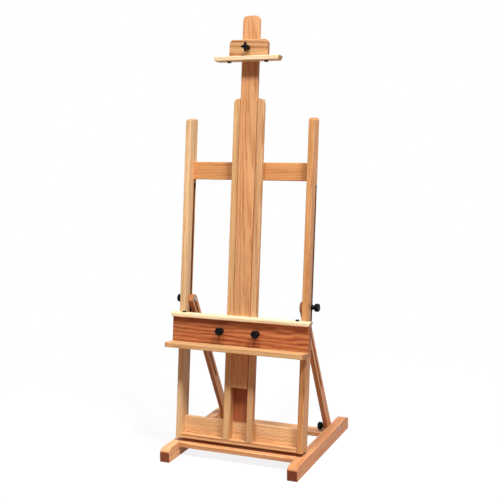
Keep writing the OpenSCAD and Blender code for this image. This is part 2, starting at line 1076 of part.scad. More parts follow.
module right_strut_knob() {
    color(plastic)
        in_frame()
            at_right_strut_knob()
                round_knob();
}

module left_strut_knob() {
    color(plastic)
        in_frame()
            mirror([1, 0, 0])
                at_right_strut_knob()
                    round_knob();
}

module at_right_pivot_knob() {
    translate([strut_washer - side_gap, pivot_y, pivot_height])
        rotate([0, -90, 0])
            children();
}

module right_pivot_knob() {
    color(plastic)
        at_right_pivot_knob()
            round_knob();
}

module left_pivot_knob() {
    color(plastic)
        mirror([1, 0, 0])
            at_right_pivot_knob()
                round_knob();
}

// ---------- mast ----------

tongue_screw_length = 18;

module at_tongue_screws() {
    for (share = [0.04, 0.35, 0.65, 0.96])
        both_sides()
            translate([mast_width * 0.3, mast_back + tongue_thickness, mast_level + tongue_length * share])
                rotate([-90, 0, 0])
                    children();
}

module mast() {
    color(oak)
        in_frame()
            difference() {
                translate([-mast_width / 2, mast_front, mast_level])
                    board_upright(mast_width, mast_thickness, mast_length);
                both_sides()
                    translate([mast_width / 2, mast_front, mast_level + mast_length])
                        top_corner_cut(mast_corner, mast_thickness);
                at_tongue_screws()
                    screw_hole(tongue_screw_length);
            }
}

module mast_tongue() {
    color(oak)
        in_frame()
            difference() {
                translate([-tongue_width / 2, mast_back, mast_level])
                    cube([tongue_width, tongue_thickness, tongue_length]);
                at_tongue_screws()
                    screw_hole(tongue_screw_length);
            }
}

module tongue_screws() {
    color(steel)
        in_frame()
            at_tongue_screws()
                wood_screw(tongue_screw_length);
}

// ---------- top clamp ----------

clamp_screw_length = 44;
bar_screw_length = 40;

// Places the screws from the back plate through the spacers into the block.
module at_clamp_screws() {
    both_sides()
        for (share = [0.25, 0.75])
            translate([spacer_inner + spacer_width / 2, back_plate_back, block_level + block_height * share])
                rotate([-90, 0, 0])
                    children();
}

// Places the screws that come up through the grip bar into the block.
module at_bar_screws() {
    both_sides()
        translate([block_width * 0.4, block_front + block_thickness / 2, clamp_level])
            mirror([0, 0, 1])
                children();
}

module at_clamp_stud() {
    translate([0, block_front, stud_level])
        rotate([90, 0, 0])
            children();
}

module clamp_block() {
    block_edge = 5;
    color(oak)
        in_frame()
            difference() {
                translate([0, block_front, block_level])
                    board_across(block_width, block_thickness, block_height);
                both_sides()
                    translate([block_width / 2, block_front, block_level + block_height])
                        top_corner_cut(block_corner, block_thickness);
                translate([0, block_front, block_level + block_height])
                    front_edge_cut(block_edge, block_width);
                at_clamp_stud()
                    insert_hole(block_thickness);
                at_clamp_screws()
                    screw_hole(clamp_screw_length);
                at_bar_screws()
                    screw_hole(bar_screw_length);
            }
}

module clamp_spacers() {
    color(oak)
        in_frame()
            difference() {
                both_sides()
                    translate([spacer_inner, clamp_front, block_level])
                        cube([spacer_width, back_plate_front - clamp_front, block_height]);
                at_clamp_screws()
                    screw_hole(clamp_screw_length);
            }
}

module clamp_back_plate() {
    color(oak)
        in_frame()
            difference() {
                translate([0, back_plate_front, block_level])
                    board_across(2 * spacer_outer, back_plate_thickness, block_height);
                at_clamp_screws()
                    screw_hole(clamp_screw_length);
            }
}

module grip_bar() {
    color("wheat")
        in_frame()
            difference() {
                translate([0, clamp_front - bar_depth, clamp_level])
                    board_across(bar_length, bar_depth, bar_height);
                both_sides() {
                    translate([bar_length / 2, clamp_front - bar_depth, clamp_level])
                        plan_corner_cut(bar_corner, bar_height);
                    translate([bar_length / 2, clamp_front, clamp_level])
                        sloped_end_cut(bar_undercut, bar_depth, bar_height);
                }
                at_bar_screws()
                    screw_hole(bar_screw_length);
            }
}

module bar_pads() {
    color("black")
        in_frame()
            both_sides()
                translate([bar_pad_spacing / 2, clamp_front - bar_depth / 2, clamp_level - pad_height])
                    cylinder(d = pad_diameter, h = pad_height);
}

module clamp_insert() {
    color("gold")
        in_frame()
            at_clamp_stud()
                threaded_insert();
}

module clamp_screws() {
    color(steel)
        in_frame()
            at_clamp_screws()
                wood_screw(clamp_screw_length);
}

module bar_screws() {
    color(steel)
        in_frame()
            at_bar_screws()
                wood_screw(bar_screw_length);
}

// Four-armed star knob on a round stem.
module clamp_knob() {
    arm_diameter = star_diameter * 0.27;
    head_height = 14;
    color(plastic)
        in_frame()
            at_clamp_stud()
                translate([0, 0, slide_gap])
                    difference() {
                        union() {
                            cylinder(d = star_diameter * 0.42, h = star_stem + 1);
                            translate([0, 0, star_stem]) {
                                cylinder(d = star_diameter * 0.55, h = head_height);
                                for (i = [0 : 3])
                                    rotate([0, 0, i * 90]) {
                                        translate([star_diameter / 2 - arm_diameter / 2, 0, 0])
                                            cylinder(d = arm_diameter, h = head_height);
                                        translate([0, -arm_diameter / 2, 0])
                                            cube([
                                                star_diameter / 2 - arm_diameter / 2,
                                                arm_diameter,
                                                head_height
                                            ]);
                                    }
                            }
                        }
                        translate([0, 0, -1])
                            cylinder(d = hole_diameter, h = knob_bore + 1);
                    }
}

module clamp_stud() {
    color(steel)
        in_frame()
            at_clamp_stud()
                translate([0, 0, slide_gap])
                    knob_stud(slide_gap + block_thickness);
}

// ---------- canvas tray ----------

shelf_screw_length = 45;

// Shallow housing in the tray's back that clears the face of the mast.
module mast_housing(level, height) {
    translate([-housing_width / 2, housing_front, level - 1])
        cube([housing_width, tray_back - housing_front + 1, height + 2]);
}

module at_tray_dowels() {
    for (share = [-0.4, -0.2, 0.2, 0.4])
        translate([apron_length * share, tray_back - apron_thickness / 2, apron_top + dowel_in_ledge - dowel_length])
            children();
}

module at_shelf_screws() {
    for (share = [-0.42, -0.21, 0.21, 0.42])
        translate([apron_length * share, tray_back - apron_thickness / 2, apron_bottom - shelf_thickness])
            mirror([0, 0, 1])
                children();
}

module at_tray_bolts() {
    both_sides()
        translate([tray_bolt_spacing / 2, claw_back, tray_bolt_level])
            rotate([90, 0, 0])
                children();
}

module tray_bolt_holes() {
    at_tray_bolts()
        translate([0, 0, -1])
            cylinder(d = hole_diameter, h = claw_back - apron_front + 2);
}

module tray_ledge() {
    color("wheat")
        in_frame()
            difference() {
                translate([0, tray_back - ledge_depth, apron_top])
                    board_across(ledge_length, ledge_depth, ledge_height);
                translate([0, tray_back - ledge_depth, ledge_level])
                    front_edge_cut(ledge_roundover, ledge_length);
                both_sides()
                    translate([ledge_length / 2, tray_back, apron_top])
                        sloped_end_cut(ledge_undercut, ledge_depth, ledge_height);
                mast_housing(apron_top, ledge_height);
                at_tray_dowels()
                    dowel_hole();
            }
}

module tray_apron() {
    color("peru")
        in_frame()
            difference() {
                translate([0, apron_front, apron_bottom])
                    board_across(apron_length, apron_thickness, apron_height);
                mast_housing(apron_bottom, apron_height);
                at_tray_dowels()
                    dowel_hole();
                at_shelf_screws()
                    screw_hole(shelf_screw_length);
                tray_bolt_holes();
            }
}

module tray_shelf() {
    color(oak)
        in_frame()
            difference() {
                translate([0, tray_back - shelf_depth, apron_bottom - shelf_thickness])
                    board_across(shelf_length, shelf_depth, shelf_thickness);
                both_sides()
                    translate([
                        shelf_length / 2,
                        tray_back - shelf_depth,
                        apron_bottom - shelf_thickness
                    ])
                        plan_corner_cut(shelf_corner, shelf_thickness);
                mast_housing(apron_bottom - shelf_thickness, shelf_thickness);
                at_shelf_screws()
                    screw_hole(shelf_screw_length);
            }
}

module tray_dowels() {
    color(oak)
        in_frame()
            at_tray_dowels()
                dowel();
}

module shelf_screws() {
    color(steel)
        in_frame()
            at_shelf_screws()
                wood_screw(shelf_screw_length);
}

module ledge_pads() {
    color("black")
        in_frame()
            both_sides()
                translate([ledge_pad_spacing / 2, tray_back - ledge_depth * 0.58, ledge_level])
                    cylinder(d = pad_diameter, h = pad_height);
}

module tray_bolts() {
    color(steel)
        in_frame()
            at_tray_bolts()
                carriage_bolt(claw_back - apron_front + thread_reach);
}

// Claw: its lip hooks behind the stile's flange and its heel bears on the apron.
module claw_body() {
    in_frame()
        difference() {
            translate([0, 0, tray_bolt_level - claw_height / 2])
                linear_extrude(claw_height)
                    polygon([
                        [claw_inner, claw_front], [claw_heel_inner, claw_front],
                        [claw_heel_inner, tray_back], [claw_outer, tray_back],
                        [claw_outer, claw_back - 2 * edge], [claw_outer - 2 * edge, claw_back],
                        [claw_inner + 2 * edge, claw_back], [claw_inner, claw_back - 2 * edge]
                    ]);
            tray_bolt_holes();
        }
}

module right_tray_claw() {
    color(oak)
        claw_body();
}

module left_tray_claw() {
    color(oak)
        mirror([1, 0, 0])
            claw_body();
}

module at_right_tray_knob() {
    translate([tray_bolt_spacing / 2, apron_front - side_gap, tray_bolt_level])
        rotate([90, 0, 0])
            children();
}

module right_tray_knob() {
    color(plastic)
        in_frame()
            at_right_tray_knob()
                round_knob();
}

module left_tray_knob() {
    color(plastic)
        in_frame()
            mirror([1, 0, 0])
                at_right_tray_knob()
                    round_knob();
}

// ---------- what is drawn ----------

left_runner();
right_runner();
front_rail();
rear_rail();
base_dowels();
pivot_bolts();
pivot_washers();
lower_hinge_leaves();
hinge_pins();
lower_hinge_screws();
left_upright();
right_upright();
bottom_rail();
lower_crossbar();
upper_crossbar();
left_stile();
right_stile();
back_panel();
upper_back_panel();
frame_dowels();
stile_screws();
panel_screws();
upper_hinge_leaves();
upper_hinge_screws();
strut_bolts();
strut_washers();
mast_lock_insert();
left_strut();
right_strut();
mast();
mast_tongue();
tongue_screws();
clamp_block();
clamp_spacers();
clamp_back_plate();
grip_bar();
bar_pads();
clamp_insert();
clamp_screws();
bar_screws();
tray_ledge();
tray_apron();
tray_shelf();
tray_dowels();
shelf_screws();
ledge_pads();
tray_bolts();
left_tray_claw();
right_tray_claw();
left_tray_knob();
right_tray_knob();
clamp_knob();
clamp_stud();
left_strut_knob();
right_strut_knob();
left_pivot_knob();
right_pivot_knob();
mast_lock_knob();
mast_lock_stud();
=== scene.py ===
import math

import bmesh
import bpy
from mathutils import Matrix, Vector


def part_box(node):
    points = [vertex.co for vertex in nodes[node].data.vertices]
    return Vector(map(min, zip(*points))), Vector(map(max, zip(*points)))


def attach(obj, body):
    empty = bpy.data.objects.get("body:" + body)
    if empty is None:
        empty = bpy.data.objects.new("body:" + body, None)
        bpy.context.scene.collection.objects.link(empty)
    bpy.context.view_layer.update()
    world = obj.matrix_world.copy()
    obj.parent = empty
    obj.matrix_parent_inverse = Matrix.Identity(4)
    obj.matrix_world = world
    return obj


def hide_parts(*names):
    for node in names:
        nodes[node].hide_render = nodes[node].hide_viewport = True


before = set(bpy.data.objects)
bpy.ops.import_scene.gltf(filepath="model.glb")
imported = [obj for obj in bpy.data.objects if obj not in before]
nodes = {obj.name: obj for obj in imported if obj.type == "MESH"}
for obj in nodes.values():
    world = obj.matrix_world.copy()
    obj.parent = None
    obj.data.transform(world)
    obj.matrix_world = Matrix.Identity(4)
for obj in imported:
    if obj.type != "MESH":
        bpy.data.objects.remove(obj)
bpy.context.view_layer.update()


# ---------------------------------------------------------------- camera, floor and light
# The easel stands on a plain white floor in front of a white background. One lamp hangs
# high in front of it, a weaker one high at its right, and the room fills the shadows softly.

AZIMUTH, PITCH, ROLL = math.radians(23.24), math.radians(8.87), math.radians(-0.95)
EYE = Vector((1.5492, -3.6646, 1.4822))


def aim_camera():
    """The camera's right, up and back axes from its azimuth, downward pitch and roll."""
    ahead = Vector((
        -math.sin(AZIMUTH) * math.cos(PITCH),
        math.cos(AZIMUTH) * math.cos(PITCH),
        -math.sin(PITCH),
    ))
    level = Vector((math.cos(AZIMUTH), math.sin(AZIMUTH), 0))
    up = level.cross(ahead)
    right = level * math.cos(ROLL) + up * math.sin(ROLL)
    turned_up = up * math.cos(ROLL) - level * math.sin(ROLL)
    axes = Matrix((right, turned_up, -ahead)).transposed().to_4x4()
    axes.translation = EYE
    return axes


camera = bpy.data.objects.new("camera", bpy.data.cameras.new("camera"))
camera.data.lens, camera.data.sensor_width = 68.3, 36.0
camera.data.clip_end = 60
camera.matrix_world = aim_camera()
bpy.context.collection.objects.link(camera)
bpy.context.scene.camera = camera
bpy.context.scene.view_settings.view_transform = "Standard"


def tone(code):
    """An sRGB hex colour as the linear colour that Blender works in."""
    parts = [int(code[i:i + 2], 16) / 255 for i in (1, 3, 5)]
    linear = [c / 12.92 if c <= 0.04045 else ((c + 0.055) / 1.055) ** 2.4 for c in parts]
    return (*linear, 1.0)


def add(tree, kind, settings=None, inputs=None, stops=None):
    """Adds one shader node, sets it up and links what it reads.

    An input that is a node takes its first output. stops are a ramp's places and hex colours.
    """
    made = tree.nodes.new("ShaderNode" + kind)
    for name, value in (settings or {}).items():
        setattr(made, name, value)
    if stops:
        ramp = made.color_ramp
        while len(ramp.elements) < len(stops):
            ramp.elements.new(0.5)
        for element, (place, colour) in zip(ramp.elements, stops):
            element.position, element.color = place, tone(colour)
    for name, value in (inputs or {}).items():
        if isinstance(value, bpy.types.Node):
            value = value.outputs[0]
        if isinstance(value, bpy.types.NodeSocket):
            tree.links.new(value, made.inputs[name])
        else:
            made.inputs[name].default_value = value
    return made


def seen_by_eye(tree):
    """1 for what the camera sees directly or in metal and glass, 0 for light on surfaces."""
    path = add(tree, "LightPath")
    seen = path.outputs["Is Camera Ray"]
    for ray in ("Is Glossy Ray", "Is Transmission Ray"):
        seen = add(tree, "Math", {"operation": "MAXIMUM"}, {0: seen, 1: path.outputs[ray]})
    return seen


def new_material(name):
    made = bpy.data.materials.new(name)
    made.use_nodes = True
    made.node_tree.nodes.clear()
    return made, made.node_tree


def build_room():
    """A floor that stays white far away, where the lamps no longer reach it, and a white sky."""
    reach, near_easel, past_shadow, least_glow = 30, 0.7, 1.7, 0.86
    floor_mesh = bpy.data.meshes.new("floor")
    corners = [(-reach, -reach, 0), (reach, -reach, 0), (reach, reach, 0), (-reach, reach, 0)]
    floor_mesh.from_pydata(corners, [], [(0, 1, 2, 3)])
    floor = bpy.data.objects.new("floor", floor_mesh)
    bpy.context.collection.objects.link(floor)
    material, tree = new_material("matt_white_floor")
    eye = seen_by_eye(tree)
    colour = add(tree, "Mix", {"data_type": "RGBA"}, {
        0: eye, 6: tone("#A08470"), 7: tone("#FFFFFF")})
    paint = add(tree, "BsdfDiffuse", inputs={"Color": colour.outputs[2]})
    place = add(tree, "TexCoord")
    away = add(tree, "VectorMath", {"operation": "LENGTH"}, {0: place.outputs["Object"]})
    far = add(tree, "MapRange", {"interpolation_type": "SMOOTHSTEP"}, {
        "Value": away.outputs["Value"], "From Min": near_easel, "From Max": past_shadow,
        "To Min": least_glow})
    far_seen = add(tree, "Math", {"operation": "MULTIPLY"}, {0: far, 1: eye})
    glow = add(tree, "Emission", inputs={"Color": tone("#FFFFFF"), "Strength": 1.0})
    both = add(tree, "MixShader", inputs={0: far_seen, 1: paint, 2: glow})
    add(tree, "OutputMaterial", inputs={"Surface": both})
    floor_mesh.materials.append(material)

    world = bpy.data.worlds.new("white_studio")
    world.use_nodes = True
    tree = world.node_tree
    tree.nodes.clear()
    eye = seen_by_eye(tree)
    strength = add(tree, "MapRange", inputs={"Value": eye, "To Min": 0.23, "To Max": 1.0})
    colour = add(tree, "Mix", {"data_type": "RGBA"}, {
        0: eye, 6: tone("#FFDEE4"), 7: tone("#FFFFFF")})
    sky = add(tree, "Background", inputs={"Color": colour.outputs[2], "Strength": strength})
    add(tree, "OutputWorld", inputs={"Surface": sky})
    bpy.context.scene.world = world


def hang_lamp(name, place, aim, size, watts, colour):
    lamp = bpy.data.lights.new(name, "AREA")
    lamp.shape, lamp.size, lamp.energy = "DISK", size, watts
    lamp.color = tone(colour)[:3]
    made = bpy.data.objects.new(name, lamp)
    made.location = place
    made.rotation_mode = "QUATERNION"
    made.rotation_quaternion = (Vector(aim) - Vector(place)).to_track_quat("-Z", "Y")
    bpy.context.collection.objects.link(made)


build_room()
hang_lamp("key_lamp", (0.2, -3.8, 9.2), (0, 0, 0.7), size=1.3, watts=530, colour="#FFFFFF")
hang_lamp("side_lamp", (3.0, -1.95, 6.0), (0, 0, 0.9), size=1.6, watts=380, colour="#FFFDFA")


# ---------------------------------------------------------------- runners and base rails
# Two thick oak runners and two flat oak boards between them, joined with beech dowels. The
# boards are planed, their edges eased, and all carry a clear satin oil that warms the wood.

MM = 0.001
LEAN = math.radians(7.5)
UPRIGHT, LEANING = (0, 0, 0), (-LEAN, 0, 0)


def per_metre(size):
    """How often a pattern of this size, in millimetres, repeats in a metre."""
    return 1 / (size * MM)


def on_grain(grain, wide, long):
    """The same on each axis, for a pattern wide across the grain and long along it."""
    return tuple(per_metre(long if axis == grain else wide) for axis in "XYZ")


def oak(name, tones, grain, centre, turned=UPRIGHT, ring=2.4, heart=(170, 130), drift=0.5,
        wander=2.5, bends=(143, 526), seed=0.0, rings=0.45, streaks=0.5, sheen=0.44,
        ends="#D2B9AE"):
    """Planed oak under satin oil: rings, streaks and open pores under a soft sheen.

    tones are its pale, middle and dark colours, grain the board's long axis, centre its
    middle and turned its rotation. ring is the width of a year's growth, heart where the
    trunk's heart lies across the board from its centre, wander how far the rings stray and
    bends how wide and how long a stray is, all in millimetres. drift is how many degrees the
    board leans off the trunk. rings and streaks weigh the two patterns, and ends tints the
    end grain.
    """
    pale, mid, dark = tones
    material, tree = new_material(name)
    place = add(tree, "TexCoord")
    local = add(tree, "Mapping", {"vector_type": "TEXTURE"}, {
        "Vector": place.outputs["Object"], "Location": centre, "Rotation": turned})

    # The trunk wanders slowly and its rings are a little ragged.
    ragged, raggedness = (11.11, 83.3), 1.75
    bent = local
    for size, shift, detail, stray in (
            (bends, 0, 2.0, wander), (ragged, 3, 3.0, raggedness)):
        spread = add(tree, "VectorMath", {"operation": "MULTIPLY"}, {
            0: local, 1: on_grain(grain, *size)})
        push = add(tree, "TexNoise", {"noise_dimensions": "4D"}, {
            "Vector": spread, "W": seed + shift, "Scale": 1.0, "Detail": detail})
        bent = add(tree, "VectorMath", {"operation": "MULTIPLY_ADD"}, {
            0: push.outputs["Color"], 1: [stray * 2 * MM] * 3, 2: bent})
    heart_place, lean_off = [wander * MM] * 3, [0.0, 0.0, 0.0]
    across = [axis for axis in "XYZ" if axis != grain]
    for axis, value, share in zip(across, heart, (1, 0.6)):
        heart_place["XYZ".index(axis)] += value * MM
        lean_off["XYZ".index(axis)] = math.radians(drift * share)
    trunk = add(tree, "Mapping", {"vector_type": "TEXTURE"}, {
        "Vector": bent, "Location": heart_place, "Rotation": lean_off})
    growth = add(tree, "TexWave", {
        "wave_type": "RINGS", "rings_direction": grain, "wave_profile": "SIN"}, {
        "Vector": trunk, "Scale": math.pi / (10 * ring * MM), "Distortion": 0.0}).outputs["Fac"]

    # Streaks of darker and lighter wood, some broad as a pencil and some like a thread, and
    # wide patches. The fibres are drawn coarser than they are, so that they show.
    figures = {}
    for kind, start, wide, long, shift, detail in (
            ("broad", bent, 11.11, 400, 11, 2.0), ("narrow", bent, 4, 250, 17, 3.0),
            ("fibre", local, 0.769, 71.4, 0, 1.0), ("patch", local, 62.5, 556, 7, 2.0)):
        spread = add(tree, "VectorMath", {"operation": "MULTIPLY"}, {
            0: start, 1: on_grain(grain, wide, long)})
        figures[kind] = add(tree, "TexNoise", {"noise_dimensions": "4D"}, {
            "Vector": spread, "W": seed + shift, "Scale": 1.0, "Detail": detail})

    # Open pores: short dark dashes, most of them in the dark part of each ring. They are
    # drawn larger than they are, so that they show.
    spread = add(tree, "VectorMath", {"operation": "MULTIPLY"}, {
        0: local, 1: on_grain(grain, 0.6667, 12.5)})
    dashes = add(tree, "TexVoronoi", {"feature": "F1"}, {
        "Vector": spread, "Scale": 1.0, "Randomness": 1.0})
    pore_size = add(tree, "MapRange", inputs={
        "Value": growth, "From Max": 0.6, "To Min": 0.4, "To Max": 0.17})
    pore = add(tree, "Math", {"operation": "LESS_THAN"}, {0: dashes, 1: pore_size})

    streak = 0.0
    for kind, low, high, weight in (("broad", 0.34, 0.66, 0.35), ("narrow", 0.4, 0.6, 0.65)):
        level = add(tree, "MapRange", inputs={
            "Value": figures[kind], "From Min": low, "From Max": high, "To Max": weight})
        streak = add(tree, "Math", {"operation": "ADD"}, {0: streak, 1: level})
    figure = (1 - rings - streaks) * 0.6
    for pattern, weight in ((growth, rings), (streak, streaks)):
        figure = add(tree, "Math", {"operation": "MULTIPLY_ADD"}, {
            0: pattern, 1: weight, 2: figure})
    wood = add(tree, "ValToRGB", inputs={"Fac": figure}, stops=[
        (0.12, dark), (0.42, mid), (0.8, pale)])
    shade = 1.0
    for pattern, low, high, first, last in (
            (figures["patch"], 0.3, 0.7, 0.9, 1.09), (figures["fibre"], 0.3, 0.7, 0.93, 1.06),
            (pore, 0.0, 1.0, 1.0, 0.78), (figures["narrow"], 0.53, 0.6, 1.0, 0.84)):
        level = add(tree, "MapRange", inputs={
            "Value": pattern, "From Min": low, "From Max": high, "To Min": first, "To Max": last})
        shade = add(tree, "Math", {"operation": "MULTIPLY"}, {0: shade, 1: level})

    # End grain drinks more oil, so it is darker.
    facing = add(tree, "Mapping", {"vector_type": "TEXTURE"}, {
        "Vector": place.outputs["Normal"], "Rotation": turned})
    parts = add(tree, "SeparateXYZ", inputs={"Vector": facing})
    end = add(tree, "Math", {"operation": "ABSOLUTE"}, {0: parts.outputs[grain]})
    end = add(tree, "MapRange", inputs={"Value": end, "From Min": 0.6, "From Max": 0.95})
    drunk = add(tree, "Mix", {"data_type": "RGBA", "blend_type": "MULTIPLY"}, {
        0: end, 6: wood.outputs[0], 7: tone(ends)})
    colour = add(tree, "VectorMath", {"operation": "SCALE"}, {
        0: drunk.outputs[2], "Scale": shade})
    rough = add(tree, "MapRange", inputs={
        "Value": figures["fibre"], "To Min": sheen - 0.07, "To Max": sheen + 0.09})
    height = add(tree, "Math", {"operation": "MULTIPLY_ADD"}, {
        0: pore, 1: -0.8, 2: figures["fibre"]})
    relief = add(tree, "Bump", inputs={"Height": height, "Strength": 0.35, "Distance": 0.2 * MM})
    surface = add(tree, "BsdfPrincipled", inputs={
        "Base Color": colour, "Roughness": rough, "IOR": 1.5, "Specular IOR Level": 0.2,
        "Normal": relief})
    add(tree, "OutputMaterial", inputs={"Surface": surface})
    return material


def finish_with(node, material):
    """Gives a CAD node one material in every slot."""
    slots = nodes[node].data.materials
    if len(slots) == 0:
        slots.append(material)
    for i in range(len(slots)):
        slots[i] = material


def middle(node):
    low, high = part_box(node)
    return tuple((low + high) / 2)


def oiled(node, name, tones, grain, turned, **figure):
    """Gives a board its own oak, centred on the board and turned with it."""
    finish_with(node, oak(name, tones, grain, middle(node), turned, **figure))


for node, seed, heart, tones in (
        ("left_runner", 1.3, (150, 120), ("#FFD19C", "#F0AF7A", "#B36D44")),
        ("right_runner", 4.1, (-160, 110), ("#F2B884", "#DF9762", "#A86036"))):
    oiled(node, "oiled_oak_" + node, tones, "Y", UPRIGHT, ring=3.2, heart=heart, seed=seed,
          ends="#987673")
for node, seed, heart in (("front_rail", 7.7, (-90, 160)), ("rear_rail", 9.2, (120, 150))):
    oiled(node, "oiled_oak_" + node, ("#F4C18D", "#E0A26C", "#A5653A"), "X", UPRIGHT,
          ring=2.8, heart=heart, seed=seed)


def beech(name, grain, centre, turned=UPRIGHT):
    """Pale close-grained beech of bought dowels, with short fine flecks along them."""
    material, tree = new_material(name)
    place = add(tree, "TexCoord")
    local = add(tree, "Mapping", {"vector_type": "TEXTURE"}, {
        "Vector": place.outputs["Object"], "Location": centre, "Rotation": turned})
    spread = add(tree, "VectorMath", {"operation": "MULTIPLY"}, {
        0: local, 1: on_grain(grain, 0.625, 7.69)})
    fleck = add(tree, "TexNoise", {"noise_dimensions": "4D"}, {
        "Vector": spread, "W": 2.0, "Scale": 1.0, "Detail": 2.0})
    wood = add(tree, "ValToRGB", inputs={"Fac": fleck}, stops=[
        (0.3, "#C79A6B"), (0.7, "#E2BE90")])
    relief = add(tree, "Bump", inputs={"Height": fleck, "Strength": 0.2, "Distance": 0.1 * MM})
    surface = add(tree, "BsdfPrincipled", inputs={
        "Base Color": wood, "Roughness": 0.6, "Normal": relief})
    add(tree, "OutputMaterial", inputs={"Surface": surface})
    return material


finish_with("base_dowels", beech("turned_beech_base_dowels", "X", middle("base_dowels")))


# ---------------------------------------------------------------- bolts and washers
# Zinc-plated carriage bolts with rolled threads and stamped washers. The pivot bolts go in
# from outside the runners, so only their low domed heads show there.

PIVOT_BACK, PIVOT_UP = 204, 43.5
RUNNER_OUT, RUNNER_IN = 305.5, 262.5
BOLT_RADIUS, HEAD_RADIUS, HEAD_HEIGHT = 3.95, 9.5, 4.5
WASHER_RADIUS, WASHER_HOLE, WASHER_THICK = 11.0, 4.05, 1.6
INNER_WASHER, OUTER_WASHER = 239.9, RUNNER_IN - WASHER_THICK
IN_KNOB = 20
ON_FRAME = Matrix.Translation((0, -0.228, 0.074018)) @ Matrix.Rotation(-LEAN, 4, "X")


def zinc(name, tint="#B4B6B6", rough=0.3):
    """Bright zinc plating over pressed steel: soft reflections and faint cloudy tarnish.

    The grit of the plating is drawn coarser than it is, so that it shows.
    """
    material, tree = new_material(name)
    place = add(tree, "TexCoord")
    cloud = add(tree, "TexNoise", inputs={
        "Vector": place.outputs["Object"], "Scale": per_metre(7.692), "Detail": 3.0})
    grit = add(tree, "TexNoise", inputs={
        "Vector": place.outputs["Object"], "Scale": per_metre(0.3846), "Detail": 2.0})
    metal = add(tree, "ValToRGB", inputs={"Fac": cloud}, stops=[
        (0.35, "#7D8081"), (0.62, tint)])
    dull = add(tree, "MapRange", inputs={
        "Value": cloud, "From Min": 0.3, "From Max": 0.7, "To Min": rough + 0.12,
        "To Max": rough - 0.04})
    relief = add(tree, "Bump", inputs={"Height": grit, "Strength": 0.15, "Distance": 0.05 * MM})
    surface = add(tree, "BsdfPrincipled", inputs={
        "Base Color": metal, "Metallic": 1.0, "Roughness": dull, "Normal": relief})
    add(tree, "OutputMaterial", inputs={"Surface": surface})
    return material


def lathe(profile, sides=48, wave=None, closed=False):
    """Points and faces of a profile of (radius, height), in millimetres, turned round Z.

    It runs from the bottom outward and up. wave(angle, radius, height) gives the radius
    there, and a closed profile makes a ring.
    """
    points, rows, faces = [], [], []
    for radius, height in profile:
        if radius == 0:
            rows.append([len(points)] * sides)
            points.append((0, 0, height))
            continue
        rows.append(range(len(points), len(points) + sides))
        for i in range(sides):
            angle = 2 * math.pi * i / sides
            at = wave(angle, radius, height) if wave else radius
            points.append((at * math.cos(angle), at * math.sin(angle), height))
    if closed:
        rows.append(rows[0])
    for low, high in zip(rows, rows[1:]):
        for i in range(sides):
            j = (i + 1) % sides
            faces.append(list(dict.fromkeys((low[i], low[j], high[j], high[i]))))
    return points, faces


def threads(start, end, radius=BOLT_RADIUS, depth=0.5, pitch=1.4):
    """Crests and roots of a rolled thread along a shank."""
    rows = []
    for i in range(int((end - start) / pitch)):
        low = start + i * pitch
        rows += [
            (radius - depth, low + pitch * 0.1), (radius, low + pitch * 0.5),
            (radius, low + pitch * 0.6)]
    return rows


def carriage_bolt(length):
    """Low domed head below Z = 0 and the shank above it, threaded for its last third."""
    dome = [(0, -HEAD_HEIGHT)]
    for share in (0.25, 0.5, 0.7, 0.85, 0.95):
        dome.append((HEAD_RADIUS * share, -HEAD_HEIGHT * (1 - share ** 2.4)))
    rim = [(HEAD_RADIUS, -0.25), (HEAD_RADIUS - 0.2, 0)]
    shank = [(BOLT_RADIUS, 0), (BOLT_RADIUS, length * 0.62)]
    tip = [(BOLT_RADIUS - 1, length), (0, length)]
    return lathe(dome + rim + shank + threads(length * 0.64, length - 1.5) + tip)


def washer():
    """Stamped ring with softened edges."""
    outer, inner, thick, soft = WASHER_RADIUS, WASHER_HOLE, WASHER_THICK, 0.2
    return lathe([
        (inner, soft), (inner + soft, 0), (outer - soft, 0), (outer, soft * 1.5),
        (outer, thick - soft), (outer - soft, thick), (inner + soft, thick),
        (inner, thick - soft)], closed=True)


def standing(across, back, up, axis):
    """Puts a form at a place over the floor, in millimetres, with its Z axis along axis."""
    turn = Vector(axis).to_track_quat("Z", "Y").to_matrix().to_4x4()
    return Matrix.Translation((across * MM, back * MM, up * MM)) @ turn


def leaning(across, back, up, axis):
    """The same on the leaning frame, from the front of its foot."""
    return ON_FRAME @ standing(across, back, up, axis)


def fitting(name, body, material, copies, smooth=35):
    """One piece made of placed copies of a form. It stands for the CAD node of its name."""
    points, faces = [], []
    for (form_points, form_faces), where in copies:
        start = len(points)
        points += [where @ (Vector(point) * MM) for point in form_points]
        faces += [[start + i for i in face] for face in form_faces]
    mesh = bpy.data.meshes.new(name + "_form")
    mesh.from_pydata(points, [], faces)
    mesh.shade_smooth()
    mesh.set_sharp_from_angle(angle=math.radians(smooth))
    mesh.materials.append(material)
    made = bpy.data.objects.new(name + "_form", mesh)
    bpy.context.collection.objects.link(made)
    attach(made, body)
    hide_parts(name)


bolt_zinc = zinc("zinc_plated_bolts")
washer_zinc = zinc("zinc_plated_washers", "#9C9E9E", 0.36)
pivot_bolt = carriage_bolt(RUNNER_OUT - INNER_WASHER + IN_KNOB)
fitting("pivot_bolts", "base", bolt_zinc, [
    (pivot_bolt, standing(side * RUNNER_OUT, PIVOT_BACK, PIVOT_UP, (-side, 0, 0)))
    for side in (-1, 1)])
fitting("pivot_washers", "base", washer_zinc, [
    (washer(), standing(side * at, PIVOT_BACK, PIVOT_UP, (side, 0, 0)))
    for side in (-1, 1) for at in (INNER_WASHER, OUTER_WASHER)])


# ---------------------------------------------------------------- hinges
# Two pairs of pressed steel leaves that share a pin behind the frame's foot, each leaf held
# by three countersunk screws.

